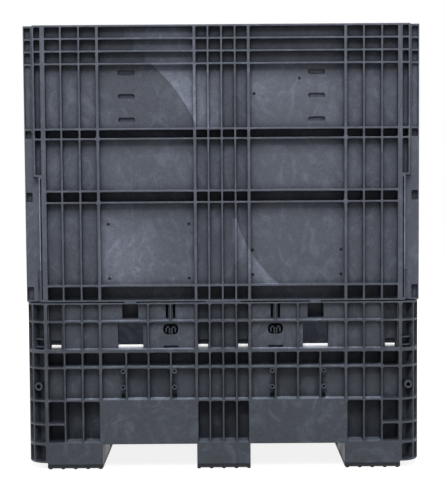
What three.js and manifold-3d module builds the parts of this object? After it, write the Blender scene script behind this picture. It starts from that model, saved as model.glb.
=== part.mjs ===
// Collapsible pallet box: a ribbed plastic base on three skids,
// with four ribbed walls that fold down into it.
// Millimetres, +Z up. X runs across the two end walls, Y runs along the box, the front end faces -Y,
// and the origin is on the floor under the middle of the box.
import * as THREE from 'three';
import { mergeGeometries, mergeVertices } from 'three/addons/utils/BufferGeometryUtils.js';
import Module from 'manifold-3d';

const wasm = await Module();
wasm.setup();

// Overall sizes
const width = 1130;
const length = 1210;
const height = 1270;
const baseHeight = 481;

// Clearances
const seatGap = 0.3;
const rimGap = 3;
const swingGap = 1.5;
const foldGap = 2;
const cutOver = 1;

// Ribs and skins of the mouldings
const thinRib = 5;
const thickRib = 8;
const cornerRibInset = 58;
const cornerPitch = 51.6;
const centrePitch = 38.3;
const fieldPitch = 64;
const skin = 4;

// Base moulding
const cornerRadius = 57;
const cornerSegments = 4;
const innerCornerRadius = 35;
const innerCornerSegments = 3;
const endRim = 50;
const sideRim = 28;
const deckUnderside = 72;
const deckTop = 150;
const skidThickness = 13;
const cornerPostBottom = 18;
const footHalfWidth = 77;
const rimRow = 52;
const windowRow = 82;
const shelfThickness = 10;
const shadowRow = 46;
const plateRow = 95;
const footRibHeight = 130;
const windowRowDepth = 10;
const plateRowDepth = 20;
const cornerPocketDepth = 24;
const cornerSectorDegrees = [[5, 42], [48, 85]];
const underPocketDepth = 45;
const underPocketPitch = 150;

// Walls
const endWallThickness = 42;
const sideWallThickness = 25.5;
const outerSetback = 1.5;
const bottomRib = 4;
const topRib = 6;
const topRow = 35.5;
const upperPanel = 184;
const upperChannel = 27.5;
const middlePanel = 148.5;
const lowerChannel = 32.5;
const bottomChannel = 39;
const edgeRib = 13;
const edgeStepHeight = 842;
const postWidth = 42;
const postRecess = 18.5;
const panelDepth = 20;
const topRowDepth = 18;

// Hinges
const rodRadius = 5;
const rodFit = 0.4;
const rodSides = 16;
const grooveSegments = 8;
const clipSegments = 6;
const endRodDepth = 34;
const sideRodDepth = 17;
const frontRodDrop = 129;
const armWidth = 24;
const armFromWindow = 6;
const armThickness = 9.5;
const armTip = 4.5;
const notchClearance = 1.5;
const notchBelow = 12;
const clipWidth = 24;
const clipFromCentre = 160;

// Windows and pockets in the end walls of the base, and the label slots of the end walls
const wideWindow = 73;
const windowFromField = 51.5;
const narrowWindow = 28;
const narrowWindowHeight = 24;
const rimOpening = 46;
const latchPocketWidth = 43;
const latchPocketHeight = 31;
const latchPocketDepth = 40;
const latchSlot = 7;
const latchSlotStep = 10;
const labelSlotWidth = 48;
const labelSlotHeight = 14;
const labelSlotInset = 57;
const labelSlotDrop = 28;
const labelSlotPitch = 67;
const labelSlotRows = 3;
const labelSlotDepth = 28;

// Skid screws
const screwHeadRadius = 8;
const screwHeadHeight = 4;
const screwHeadRecess = 1;
const screwShankRadius = 3.5;
const screwDepth = 30;
const screwInset = 50;
const screwSides = 8;

// Finishes
const plastic = new THREE.MeshStandardMaterial({ color: 0x50555f, roughness: 0.5, metalness: 0 });
const skidPlastic = new THREE.MeshStandardMaterial({ color: 0x1d2026, roughness: 0.6, metalness: 0 });
const rodFinish = new THREE.MeshStandardMaterial({ color: 0xf0f0ee, roughness: 0.35, metalness: 0 });
const screwFinish = new THREE.MeshStandardMaterial({ color: 0x9a9da2, roughness: 0.35, metalness: 0.9 });

// Solids from three.js shapes
function solid(geometry) {
  const bare = geometry.index ? geometry.toNonIndexed() : geometry.clone();
  bare.deleteAttribute('normal');
  bare.deleteAttribute('uv');
  const merged = mergeVertices(bare, 1e-4);
  return new wasm.Manifold(new wasm.Mesh({
    numProp: 3,
    vertProperties: new Float32Array(merged.attributes.position.array),
    triVerts: new Uint32Array(merged.index.array),
  }));
}

function geometryOf(manifold) {
  const mesh = manifold.getMesh();
  const geometry = new THREE.BufferGeometry();
  geometry.setAttribute('position', new THREE.BufferAttribute(new Float32Array(mesh.vertProperties), 3));
  geometry.setIndex(new THREE.BufferAttribute(new Uint32Array(mesh.triVerts), 1));
  return geometry;
}

function box(x0, x1, y0, y1, z0, z1) {
  const geometry = new THREE.BoxGeometry(x1 - x0, y1 - y0, z1 - z0);
  geometry.translate((x0 + x1) / 2, (y0 + y1) / 2, (z0 + z1) / 2);
  return geometry;
}

function apart(geometries) {
  return solid(mergeGeometries(geometries.map((geometry) => {
    const bare = geometry.index ? geometry.toNonIndexed() : geometry.clone();
    bare.deleteAttribute('normal');
    bare.deleteAttribute('uv');
    return bare;
  })));
}

function pushed(shape, depth) {
  return new THREE.ExtrudeGeometry(shape, { depth, bevelEnabled: false, curveSegments: 1 });
}

function upright(shape, z0, z1) {
  const geometry = pushed(shape, z1 - z0);
  geometry.translate(0, 0, z0);
  return geometry;
}

// A shape drawn in (along, up) that is pushed inward from depth y0 to depth y1
function inward(shape, y0, y1) {
  const geometry = pushed(shape, y1 - y0);
  geometry.rotateX(Math.PI / 2);
  geometry.translate(0, y1, 0);
  return geometry;
}

// A shape drawn in (inward, up) that runs along the side from x0 to x1
function along(shape, x0, x1) {
  const geometry = pushed(shape, x1 - x0);
  geometry.applyMatrix4(new THREE.Matrix4().makeBasis(
    new THREE.Vector3(0, 1, 0),
    new THREE.Vector3(0, 0, 1),
    new THREE.Vector3(1, 0, 0),
  ));
  geometry.translate(x0, 0, 0);
  return geometry;
}

function polygon(points) {
  return new THREE.Shape(points.map(([x, y]) => new THREE.Vector2(x, y)));
}

// The four corners: sign of X, sign of Y and the direction where the corner starts, in degrees
const quadrants = [[1, 1, 0], [-1, 1, 90], [-1, -1, 180], [1, -1, 270]];

function roundedRectangle(halfX, halfY, radius, segments) {
  const points = [];
  for (const [signX, signY, start] of quadrants) {
    for (let i = 0; i <= segments; i += 1) {
      const angle = THREE.MathUtils.degToRad(start + (90 * i) / segments);
      points.push([
        signX * (halfX - radius) + radius * Math.cos(angle),
        signY * (halfY - radius) + radius * Math.sin(angle),
      ]);
    }
  }
  return polygon(points);
}

// The four sides of the box. Each is drawn looking at it from outside, with X along it,
// Y going inward from its outer face and Z up, and is then turned to its place.
const sides = {
  front: { half: width / 2, reach: length / 2, turn: 0, rim: endRim, rodDepth: endRodDepth },
  back: { half: width / 2, reach: length / 2, turn: Math.PI, rim: endRim, rodDepth: endRodDepth },
  left: { half: length / 2, reach: width / 2, turn: -Math.PI / 2, rim: sideRim, rodDepth: sideRodDepth },
  right: { half: length / 2, reach: width / 2, turn: Math.PI / 2, rim: sideRim, rodDepth: sideRodDepth },
};

function place(object, side) {
  object.rotation.z = side.turn;
  object.position.set(Math.sin(side.turn) * side.reach, -Math.cos(side.turn) * side.reach, 0);
  return object;
}

function turned(geometry, side) {
  const frame = place(new THREE.Object3D(), side);
  frame.updateMatrix();
  return geometry.clone().applyMatrix4(frame.matrix);
}

// Rod heights: each folded wall lies on the one that folded before it
sides.front.rodHeight = baseHeight - frontRodDrop;
sides.back.rodHeight = sides.front.rodHeight - endWallThickness - foldGap;
sides.left.rodHeight = sides.front.rodHeight + endRodDepth + foldGap + sideWallThickness - sideRodDepth;
sides.right.rodHeight = sides.left.rodHeight + sideWallThickness + foldGap;

// Rib lines of one side, from the middle outwards, as places and thicknesses
function ribLines(half) {
  const corner = half - cornerRibInset;
  const lines = [
    { at: 0, thick: thinRib },
    { at: centrePitch, thick: thinRib },
    { at: 2 * centrePitch, thick: thickRib },
    { at: corner - 3 * cornerPitch, thick: thickRib },
    { at: corner - 2 * cornerPitch, thick: thinRib },
    { at: corner - cornerPitch, thick: thinRib },
    { at: corner, thick: thickRib },
  ];
  return lines;
}

function fieldMiddle(half) {
  const lines = ribLines(half);
  return (lines[2].at + lines[3].at) / 2;
}

function withField(lines, half, steps) {
  const middle = fieldMiddle(half);
  const field = steps.map((step) => ({ at: middle + step * fieldPitch, thick: thinRib }));
  return [...lines, ...field].sort((a, b) => a.at - b.at);
}

// Bays between neighbouring ribs, on both sides of the middle
function bays(lines) {
  const one = [];
  for (let i = 1; i < lines.length; i += 1) {
    one.push([lines[i - 1].at + lines[i - 1].thick / 2, lines[i].at - lines[i].thick / 2]);
  }
  return [...one, ...one.map(([a, b]) => [-b, -a])];
}

function centreOf([a, b]) {
  return Math.abs(a + b) / 2;
}

// Rows of the base, from the rim down
const rimUnder = baseHeight - thinRib;
const rimRowBottom = rimUnder - rimRow + thinRib;
const windowRowTop = rimRowBottom - thinRib;
const windowRowBottom = windowRowTop - windowRow + thinRib;
const shadowRowTop = windowRowBottom - shelfThickness;
const shadowRowBottom = shadowRowTop - shadowRow + thinRib;
const plateRowTop = shadowRowBottom - thinRib;
const plateRowBottom = plateRowTop - plateRow + thinRib;
const skirtTop = plateRowBottom - thinRib;
const skirtBottom = deckUnderside + thinRib;

// Pockets of one side of the base
function basePockets(name) {
  const side = sides[name];
  const lines = ribLines(side.half);
  const notchFloor = side.rodHeight - notchBelow;
  const deep = side.rim - skin;
  const pockets = [];
  const add = ([a, b], z0, z1, depth) => {
    if (z1 - z0 > thinRib) pockets.push(box(a, b, -cutOver, depth, z0, z1));
  };
  const shadowDepth = shadowRowTop > notchFloor ? windowRowDepth : deep;
  const full = bays(withField(lines, side.half, [-1, 0, 1]));
  for (const bay of bays(withField(lines, side.half, [-1, 0]))) {
    add(bay, rimRowBottom, rimUnder, windowRowDepth);
  }
  for (const bay of bays(withField(lines, side.half, [0]))) {
    add(bay, windowRowBottom, windowRowTop, windowRowDepth);
  }
  for (const bay of full) {
    add(bay, shadowRowBottom, shadowRowTop, shadowDepth);
    add(bay, plateRowBottom, plateRowTop, plateRowDepth);
  }
  const field = [lines[2].at, lines[3].at];
  for (const bay of bays(lines)) {
    const middle = centreOf(bay);
    if (middle > field[0] && middle < field[1]) continue;
    if (middle > lines[5].at) {
      add(bay, skirtBottom, footRibHeight - thinRib / 2, deep);
      add(bay, footRibHeight + thinRib / 2, skirtTop, deep);
    } else {
      add(bay, skirtBottom, skirtTop, deep);
    }
  }
  return pockets;
}

// Arms of a wall: one beside each edge of the two wide windows
function armPlaces(side) {
  const windowAt = fieldMiddle(side.half) + windowFromField;
  const step = wideWindow / 2 + armFromWindow + armWidth / 2;
  return [-1, 1].flatMap((sign) => [sign * (windowAt - step), sign * (windowAt + step)]);
}

// Openings behind the pockets: rod channel, notches for the wall's arms and the windows into them
function hingeCuts(name) {
  const side = sides[name];
  const lines = ribLines(side.half);
  const end = name === 'front' || name === 'back';
  const channelHalf = side.half - (end ? sideRim : endRim) - innerCornerRadius;
  const clear = rodRadius + seatGap;
  const z = side.rodHeight;
  const inside = side.rim + cutOver;
  const tipDepth = side.rodDepth - Math.hypot(armTip, armThickness) - notchClearance;
  const notchHalf = armWidth / 2 + notchClearance;
  const windowAt = fieldMiddle(side.half) + windowFromField;
  const cuts = [box(-channelHalf, channelHalf, side.rodDepth - clear, inside, z - clear, z + clear)];
  for (const at of armPlaces(side)) {
    cuts.push(box(at - notchHalf, at + notchHalf, tipDepth, inside, z - notchBelow, baseHeight + cutOver));
  }
  if (!end) return { cuts, channelHalf };
  const rowBottom = z > windowRowBottom ? windowRowBottom : shadowRowBottom;
  const rowTop = z > windowRowBottom ? windowRowTop : shadowRowTop;
  const windowBottom = Math.max(rowBottom, z - clear);
  const cornerBay = (lines[5].at + lines[6].at) / 2;
  const centreBay = (lines[1].at + lines[2].at) / 2;
  for (const sign of [-1, 1]) {
    const add = (middle, half, z0, z1, depth) => {
      cuts.push(box(sign * middle - half, sign * middle + half, -cutOver, depth, z0, z1));
    };
    add(windowAt, wideWindow / 2, windowBottom, rowTop, inside);
    add(cornerBay, narrowWindow / 2, windowBottom, windowBottom + narrowWindowHeight, side.rodDepth);
    add(centreBay, narrowWindow / 2, windowBottom, windowBottom + narrowWindowHeight, side.rodDepth);
    add(windowAt, rimOpening / 2, rimRowBottom + thinRib, rimUnder, inside);
    const latchAt = fieldMiddle(side.half) - fieldPitch;
    const latchTop = windowRowTop - thinRib;
    add(latchAt, latchPocketWidth / 2, latchTop - latchPocketHeight, latchTop, latchPocketDepth);
    for (const step of [-1, 1]) {
      add(latchAt + step * latchSlotStep, latchSlot / 2, rimRowBottom + thinRib, rimUnder, latchPocketDepth);
    }
  }
  return { cuts, channelHalf };
}

// Corner pockets: two sectors round each corner with a rib between them
function cornerPockets() {
  const rows = [
    [cornerPostBottom + thinRib, deckUnderside - thinRib / 2],
    [skirtBottom, footRibHeight - thinRib / 2],
    [footRibHeight + thinRib / 2, skirtTop],
    [plateRowBottom, plateRowTop],
    [shadowRowBottom, shadowRowTop],
    [windowRowBottom, windowRowTop],
    [rimRowBottom, rimUnder],
  ];
  const pockets = [];
  for (const [signX, signY, start] of quadrants) {
    const centreX = signX * (width / 2 - cornerRadius);
    const centreY = signY * (length / 2 - cornerRadius);
    for (const sector of cornerSectorDegrees) {
      const [from, to] = sector.map((degrees) => THREE.MathUtils.degToRad(start + degrees));
      const outer = (cornerRadius + cutOver) / Math.cos((to - from) / 2);
      const inner = cornerRadius - cornerPocketDepth;
      const corners = [[outer, from], [outer, to], [inner, to], [inner, from]];
      const points = corners.map(([radius, angle]) => (
        [centreX + radius * Math.cos(angle), centreY + radius * Math.sin(angle)]));
      for (const [z0, z1] of rows) pockets.push(upright(polygon(points), z0, z1));
    }
  }
  return pockets;
}

// Pockets in the underside of the deck, between the rows of feet
function underPockets(feetX, feetY) {
  const pockets = [];
  const spans = (inner, outer) => {
    const count = Math.max(1, Math.round((outer - inner) / underPocketPitch));
    const pitch = (outer - inner - thinRib) / count;
    return Array.from({ length: count }, (_, i) => [inner + thinRib + i * pitch, inner + (i + 1) * pitch]);
  };
  for (const [x0, x1] of spans(footHalfWidth, feetX)) {
    for (const [y0, y1] of spans(footHalfWidth, feetY)) {
      for (const [signX, signY] of quadrants) {
        const xs = [signX * x0, signX * x1].sort((a, b) => a - b);
        const ys = [signY * y0, signY * y1].sort((a, b) => a - b);
        const top = deckUnderside + underPocketDepth;
        pockets.push(box(xs[0], xs[1], ys[0], ys[1], deckUnderside - cutOver, top));
      }
    }
  }
  return pockets;
}

// Screw places on a skid: two under each end foot
const footFromX = ribLines(width / 2)[3].at - thickRib / 2;
const footFromY = ribLines(length / 2)[3].at - thickRib / 2;
const footToX = width / 2 - cornerRadius;
const skidPlaces = {
  left: [-footToX, -footFromX],
  centre: [-footHalfWidth, footHalfWidth],
  right: [footFromX, footToX],
};
const cornerFootMiddleY = (footFromY + length / 2) / 2;

function screwPlaces(name) {
  const [x0, x1] = skidPlaces[name];
  const places = [];
  for (const y of [-cornerFootMiddleY, cornerFootMiddleY]) {
    places.push([x0 + screwInset, y], [x1 - screwInset, y]);
  }
  return places;
}

function disc(radius, z0, z1, x, y) {
  const geometry = new THREE.CylinderGeometry(radius, radius, z1 - z0, screwSides);
  geometry.rotateX(Math.PI / 2);
  geometry.translate(x, y, (z0 + z1) / 2);
  return geometry;
}

// Base: one moulding with deck, rim, feet and ribbed sides
function makeBase() {
  const outer = (z0, z1) => solid(upright(
    roundedRectangle(width / 2, length / 2, cornerRadius, cornerSegments),
    z0,
    z1,
  ));
  const hold = solid(upright(
    roundedRectangle(width / 2 - sideRim, length / 2 - endRim, innerCornerRadius, innerCornerSegments),
    deckTop,
    baseHeight + cutOver,
  ));
  const footBottom = skidThickness + seatGap;
  const bandsX = [[-width, -footFromX], [-footHalfWidth, footHalfWidth], [footFromX, width]];
  const bandsY = [[-length, -footFromY], [-footHalfWidth, footHalfWidth], [footFromY, length]];
  const feet = [];
  for (const [x0, x1] of bandsX) {
    for (const [y0, y1] of bandsY) {
      feet.push(box(x0, x1, y0, y1, footBottom - cutOver, deckUnderside + cutOver));
    }
  }
  const footing = outer(footBottom, deckUnderside + skin).intersect(apart(feet));
  const lifted = [-1, 1].map((sign) => {
    const ends = [sign * footToX, sign * width].sort((a, b) => a - b);
    return box(ends[0], ends[1], -length, length, footBottom - cutOver, cornerPostBottom);
  });
  let base = outer(deckUnderside, baseHeight).subtract(hold).add(footing).subtract(apart(lifted));
  const pockets = Object.keys(sides).flatMap((name) => (
    basePockets(name).map((pocket) => turned(pocket, sides[name]))));
  base = base.subtract(apart([...pockets, ...cornerPockets(), ...underPockets(footFromX, footFromY)]));
  for (const name of Object.keys(sides)) {
    for (const cut of hingeCuts(name).cuts) base = base.subtract(solid(turned(cut, sides[name])));
  }
  const holes = Object.keys(skidPlaces).flatMap((name) => screwPlaces(name).map(([x, y]) => disc(
    screwShankRadius + seatGap, footBottom - cutOver, screwDepth + seatGap, x, y)));
  return base.subtract(apart(holes));
}

// Skids and their screws
function makeSkid(name) {
  const [x0, x1] = skidPlaces[name];
  const runner = solid(box(x0, x1, -length / 2 + outerSetback, length / 2 - outerSetback, 0, skidThickness));
  const heads = screwPlaces(name).map(([x, y]) => disc(
    screwHeadRadius + seatGap, -cutOver, screwHeadRecess + screwHeadHeight + seatGap, x, y));
  const shanks = screwPlaces(name).map(([x, y]) => disc(
    screwShankRadius + seatGap, 0, skidThickness + cutOver, x, y));
  return runner.subtract(apart(heads)).subtract(apart(shanks));
}

function makeScrew([x, y]) {
  const head = solid(disc(screwHeadRadius, screwHeadRecess, screwHeadRecess + screwHeadHeight, x, y));
  return head.add(solid(disc(screwShankRadius, screwHeadHeight, screwDepth, x, y)));
}

// Arm of a wall: a strip that reaches down behind the rod with a half-round groove for it
function armShape(side, top) {
  const groove = rodRadius + rodFit;
  const start = Math.PI / 2;
  const finish = -Math.asin(armTip / groove);
  const points = [];
  for (let i = 0; i <= grooveSegments; i += 1) {
    const angle = start + ((finish - start) * i) / grooveSegments;
    points.push([side.rodDepth + groove * Math.cos(angle), side.rodHeight + groove * Math.sin(angle)]);
  }
  points.push([side.rodDepth + armThickness, side.rodHeight - armTip]);
  points.push([side.rodDepth + armThickness, top], [side.rodDepth, top]);
  return polygon(points.reverse());
}

function withArms(wall, side) {
  const shape = armShape(side, wallBottom + bottomRib);
  const arms = armPlaces(side).map((at) => along(shape, at - armWidth / 2, at + armWidth / 2));
  return wall.add(apart(arms));
}

// Rows of ribs of a wall, from its lower edge up
const wallBottom = baseHeight + rimGap;
const wallRows = (() => {
  const rows = [];
  let top = height - topRib;
  const down = (name, size) => {
    rows.push({ name, top, bottom: top - size + thinRib });
    top -= size;
  };
  down('top', topRow);
  down('top', topRow);
  down('top', topRow);
  down('panel', upperPanel);
  down('channel', upperChannel);
  down('panel', middlePanel);
  down('channel', lowerChannel);
  const bottomStart = wallBottom + bottomRib;
  const bottomRow = { name: 'channel', bottom: bottomStart, top: bottomStart + bottomChannel };
  rows.push({ name: 'panel', top, bottom: bottomRow.top + thinRib });
  rows.push(bottomRow);
  return rows;
})();

function wallPockets(lines, thickness, outerEdge, y0) {
  const depths = { top: topRowDepth, panel: panelDepth, channel: thickness - skin };
  const pockets = [];
  const all = bays(lines);
  for (const { name, top, bottom } of wallRows) {
    const depth = y0 + Math.min(depths[name], thickness - skin);
    for (const [a, b] of all) pockets.push(box(a, b, y0 - cutOver, depth, bottom, top));
    if (!outerEdge) continue;
    const z0 = Math.max(bottom, edgeStepHeight + thinRib);
    if (top - z0 < thinRib) continue;
    for (const sign of [-1, 1]) {
      const ends = [sign * outerEdge[0], sign * outerEdge[1]].sort((a, b) => a - b);
      pockets.push(box(ends[0], ends[1], y0 - cutOver, depth, z0, top));
    }
  }
  return pockets;
}

// End wall: a plate with its pockets, stepped edges, label slots and four arms
function makeEndWall(name) {
  const side = sides[name];
  const upperHalf = width / 2 - sideRim - swingGap;
  const lowerHalf = width / 2 - postWidth - swingGap;
  const inner = outerSetback + endWallThickness;
  const outline = polygon([
    [-lowerHalf, wallBottom], [lowerHalf, wallBottom],
    [lowerHalf, edgeStepHeight], [upperHalf, edgeStepHeight],
    [upperHalf, height], [-upperHalf, height],
    [-upperHalf, edgeStepHeight], [-lowerHalf, edgeStepHeight],
  ]);
  const lines = ribLines(side.half).map((line, i, list) => (
    i === list.length - 1 ? { at: line.at, thick: edgeRib } : line));
  const last = lines[lines.length - 1];
  const outerEdge = [last.at + last.thick / 2, upperHalf - thinRib];
  let wall = solid(inward(outline, outerSetback, inner));
  wall = wall.subtract(apart(wallPockets(lines, endWallThickness, outerEdge, outerSetback)));
  const slotTop = wallRows.find((row) => row.name === 'panel').top - labelSlotDrop + labelSlotHeight;
  const slotEdge = lines[3].at - labelSlotInset;
  const slots = [];
  for (const sign of [-1, 1]) {
    for (let i = 0; i < labelSlotRows; i += 1) {
      const ends = [sign * slotEdge, sign * (slotEdge - labelSlotWidth)].sort((a, b) => a - b);
      const z1 = slotTop - i * labelSlotPitch;
      slots.push(box(ends[0], ends[1], outerSetback, labelSlotDepth, z1 - labelSlotHeight, z1));
    }
  }
  wall = wall.subtract(apart(slots));
  return withArms(wall, side);
}

// Side wall: a thinner plate between the end walls, with a post behind the lower half of each end wall edge
function makeSideWall(name) {
  const side = sides[name];
  const halfLength = length / 2 - outerSetback - postRecess;
  const outer = outerSetback;
  const inner = outer + sideWallThickness;
  const postTop = edgeStepHeight - rimGap;
  const postLength = endRim - outerSetback - postRecess;
  let wall = solid(box(-halfLength, halfLength, outer, inner, wallBottom, height));
  for (const sign of [-1, 1]) {
    const ends = [sign * halfLength, sign * (halfLength - postLength)].sort((a, b) => a - b);
    wall = wall.add(solid(box(ends[0], ends[1], outer, postWidth, wallBottom, postTop)));
  }
  wall = wall.subtract(apart(wallPockets(ribLines(side.half), sideWallThickness, null, outer)));
  return withArms(wall, side);
}

// Hinge rods and the clips that hold them in their channels
function makeRod(name) {
  const side = sides[name];
  const half = hingeCuts(name).channelHalf - seatGap;
  const geometry = new THREE.CylinderGeometry(rodRadius, rodRadius, 2 * half, rodSides);
  geometry.rotateZ(Math.PI / 2);
  geometry.translate(0, side.rodDepth, side.rodHeight);
  return solid(geometry);
}

function makeClip(name, sign) {
  const side = sides[name];
  const grip = rodRadius + seatGap;
  const halfHeight = rodRadius;
  const limit = Math.asin(halfHeight / grip);
  const points = [];
  for (let i = 0; i <= clipSegments; i += 1) {
    const angle = -limit + (2 * limit * i) / clipSegments;
    points.push([side.rodDepth + grip * Math.cos(angle), side.rodHeight + grip * Math.sin(angle)]);
  }
  points.push([side.rim, side.rodHeight + halfHeight], [side.rim, side.rodHeight - halfHeight]);
  const middle = sign * clipFromCentre;
  return solid(along(polygon(points.reverse()), middle - clipWidth / 2, middle + clipWidth / 2));
}

const palletBox = new THREE.Group();

function put(name, manifold, material, side) {
  const mesh = new THREE.Mesh(geometryOf(manifold), material.clone());
  mesh.name = name;
  if (side) place(mesh, side);
  palletBox.add(mesh);
}

put('base', makeBase(), plastic);
for (const name of Object.keys(skidPlaces)) {
  put(`skid_${name}`, makeSkid(name), skidPlastic);
  screwPlaces(name).forEach((spot, i) => put(`skid_screw_${name}_${i + 1}`, makeScrew(spot), screwFinish));
}
for (const name of Object.keys(sides)) {
  const wall = name === 'front' || name === 'back' ? makeEndWall(name) : makeSideWall(name);
  put(`${name}_wall`, wall, plastic, sides[name]);
  put(`hinge_rod_${name}`, makeRod(name), rodFinish, sides[name]);
  put(`rod_clip_${name}_a`, makeClip(name, -1), plastic, sides[name]);
  put(`rod_clip_${name}_b`, makeClip(name, 1), plastic, sides[name]);
}

export default palletBox;
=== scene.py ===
import math

import bmesh
import bpy
from mathutils import Matrix, Vector


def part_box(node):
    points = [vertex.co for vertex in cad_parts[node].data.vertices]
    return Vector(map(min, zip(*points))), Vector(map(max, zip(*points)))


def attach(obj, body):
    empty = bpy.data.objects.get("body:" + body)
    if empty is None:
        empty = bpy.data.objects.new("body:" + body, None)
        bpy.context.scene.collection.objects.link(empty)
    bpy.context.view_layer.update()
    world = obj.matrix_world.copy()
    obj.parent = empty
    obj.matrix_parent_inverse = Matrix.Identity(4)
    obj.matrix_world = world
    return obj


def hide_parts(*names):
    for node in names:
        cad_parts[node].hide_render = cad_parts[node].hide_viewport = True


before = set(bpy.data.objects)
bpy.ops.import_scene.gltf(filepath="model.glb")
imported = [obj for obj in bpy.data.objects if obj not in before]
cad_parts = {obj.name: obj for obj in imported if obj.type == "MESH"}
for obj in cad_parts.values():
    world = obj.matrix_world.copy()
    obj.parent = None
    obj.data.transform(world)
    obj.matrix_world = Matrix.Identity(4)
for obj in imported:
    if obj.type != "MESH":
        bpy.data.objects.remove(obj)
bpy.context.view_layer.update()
mm = 0.001

# Base: one big structural foam moulding in dark grey polyethylene, with a deck, nine feet and a skirt of
# ribbed pockets on all four sides. Its ribs are 5 to 8 mm thick, with rounded corners and soft edges
# from the mould, and channels behind the end and side rims hold the hinge rods.
base_low, base_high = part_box("base")
half_width = base_high.x / mm
half_length = base_high.y / mm
rim_top = base_high.z / mm
foot_bottom = base_low.z / mm
corner_radius, inner_corner_radius = 57, 35
corner_steps, inner_corner_steps = 12, 8
end_rim, side_rim, skin = 50, 28, 4
deck_underside, deck_top, post_bottom = 72, 150, 18
thin_rib, thick_rib = 5, 8
corner_inset, corner_pitch, centre_pitch, field_pitch = 58, 51.6, 38.3, 64
foot_half, foot_sink, foot_rib = 77, 10, 130

# Rows of pockets from the rim down, as heights above the floor in millimetres
rim_row = (429, 476)
window_row = (347, 424)
shadow_row = (296, 337)
plate_row = (201, 291)
skirt_row = (77, 196)

# Soft edges and the shape of a pocket, and how far a cutter reaches past what it cuts
base_soft, hold_soft, post_soft = 2, 4, 5
soft_angle = math.radians(40)
round_over, pocket_corner, floor_fillet, draft = 1.7, 5, 1.6, 0.02
window_depth, plate_depth, corner_depth = 10, 20, 24
end_rod_depth, side_rod_depth, rod_radius = 34, 17, 5
past, far_past = 1, 20
ends = ("front", "back")


def new_object(name, bm):
    mesh = bpy.data.meshes.new(name)
    bmesh.ops.recalc_face_normals(bm, faces=bm.faces)
    bm.to_mesh(mesh)
    bm.free()
    made = bpy.data.objects.new(name, mesh)
    bpy.context.scene.collection.objects.link(made)
    return made


def applied(piece):
    graph = bpy.context.evaluated_depsgraph_get()
    mesh = bpy.data.meshes.new_from_object(piece.evaluated_get(graph))
    piece.modifiers.clear()
    piece.data = mesh
    return piece


def carve(body, tool, operation="DIFFERENCE"):
    step = body.modifiers.new("carve", "BOOLEAN")
    step.object, step.operation, step.solver = tool, operation, "MANIFOLD"
    applied(body)
    bpy.data.objects.remove(tool)
    return body


def extruded(bm, outline, low, high, place):
    rings = [[bm.verts.new(place(s, t, level)) for s, t in outline] for level in (low, high)]
    bm.faces.new(rings[0])
    bm.faces.new(rings[1])
    for i in range(len(outline)):
        j = (i + 1) % len(outline)
        bm.faces.new((rings[0][i], rings[0][j], rings[1][j], rings[1][i]))


def softened(piece, width, segments=2):
    bevel = piece.modifiers.new("soften", "BEVEL")
    bevel.width, bevel.segments, bevel.limit_method = width * mm, segments, "ANGLE"
    bevel.angle_limit = soft_angle
    return applied(piece)


def rounded_loop(s0, s1, z0, z1, radius, arc_steps=3, side_steps=1):
    least_straight, least_radius = 0.1, 0.2
    radius = max(min(radius, (s1 - s0) / 2 - least_straight, (z1 - z0) / 2 - least_straight), least_radius)
    points = []
    centres = [(s1 - radius, z0 + radius, -90), (s1 - radius, z1 - radius, 0),
               (s0 + radius, z1 - radius, 90), (s0 + radius, z0 + radius, 180)]
    for s, z, start in centres:
        for i in range(arc_steps + 1):
            angle = math.radians(start + 90 * i / arc_steps)
            points.append((s + radius * math.cos(angle), z + radius * math.sin(angle)))
        if side_steps > 1 and start in (0, 180):
            far = s0 + radius if start == 0 else s1 - radius
            edge = points[-1]
            points += [(edge[0] + (far - edge[0]) * i / side_steps, edge[1]) for i in range(1, side_steps)]
    return points


# The tool for one pocket: a rounded mouth, walls with draft, and a fillet round the floor
def pocket(bm, bay, row, depth, place, radius=pocket_corner, side_steps=1, edge=round_over, mouth=0):
    stick_out, arc_middle = 3, 0.29
    fillet = min(floor_fillet, (depth - mouth) / 3)
    taper = draft * (depth - mouth)
    rings = [(mouth - stick_out, edge), (mouth, edge), (mouth + arc_middle * edge, arc_middle * edge),
             (mouth + edge, 0), (depth - fillet, -taper),
             (depth - arc_middle * fillet, -taper - arc_middle * fillet), (depth, -taper - fillet)]
    made = []
    for deep, grow in rings:
        loop = rounded_loop(bay[0] - grow, bay[1] + grow, row[0] - grow, row[1] + grow,
                            radius + grow, side_steps=side_steps)
        made.append([bm.verts.new(place(s, deep, z)) for s, z in loop])
    bm.faces.new(made[0])
    bm.faces.new(made[-1])
    for upper, lower in zip(made, made[1:]):
        for i in range(len(upper)):
            j = (i + 1) % len(upper)
            bm.faces.new((upper[i], upper[j], lower[j], lower[i]))


def block(bm, s0, s1, u0, u1, z0, z1, place):
    extruded(bm, [(s0, u0), (s1, u0), (s1, u1), (s0, u1)], z0, z1, place)


def upright(x, y, z):
    return Vector((x, y, z)) * mm


# A side's own frame: along it, inward from its outer face, and up
def side_place(turn, reach):
    spin = Matrix.Rotation(turn, 3, "Z")

    def place(s, u, z):
        return spin @ Vector((s * mm, (u - reach) * mm, z * mm))
    return place


sides = {
    "front": dict(half=half_width, rim=end_rim, rod_depth=end_rod_depth, rod_height=352,
                  place=side_place(0, half_length)),
    "back": dict(half=half_width, rim=end_rim, rod_depth=end_rod_depth, rod_height=308,
                 place=side_place(math.pi, half_length)),
    "left": dict(half=half_length, rim=side_rim, rod_depth=side_rod_depth, rod_height=396.5,
                 place=side_place(-math.pi / 2, half_width)),
    "right": dict(half=half_length, rim=side_rim, rod_depth=side_rod_depth, rod_height=424,
                  place=side_place(math.pi / 2, half_width)),
}


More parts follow.
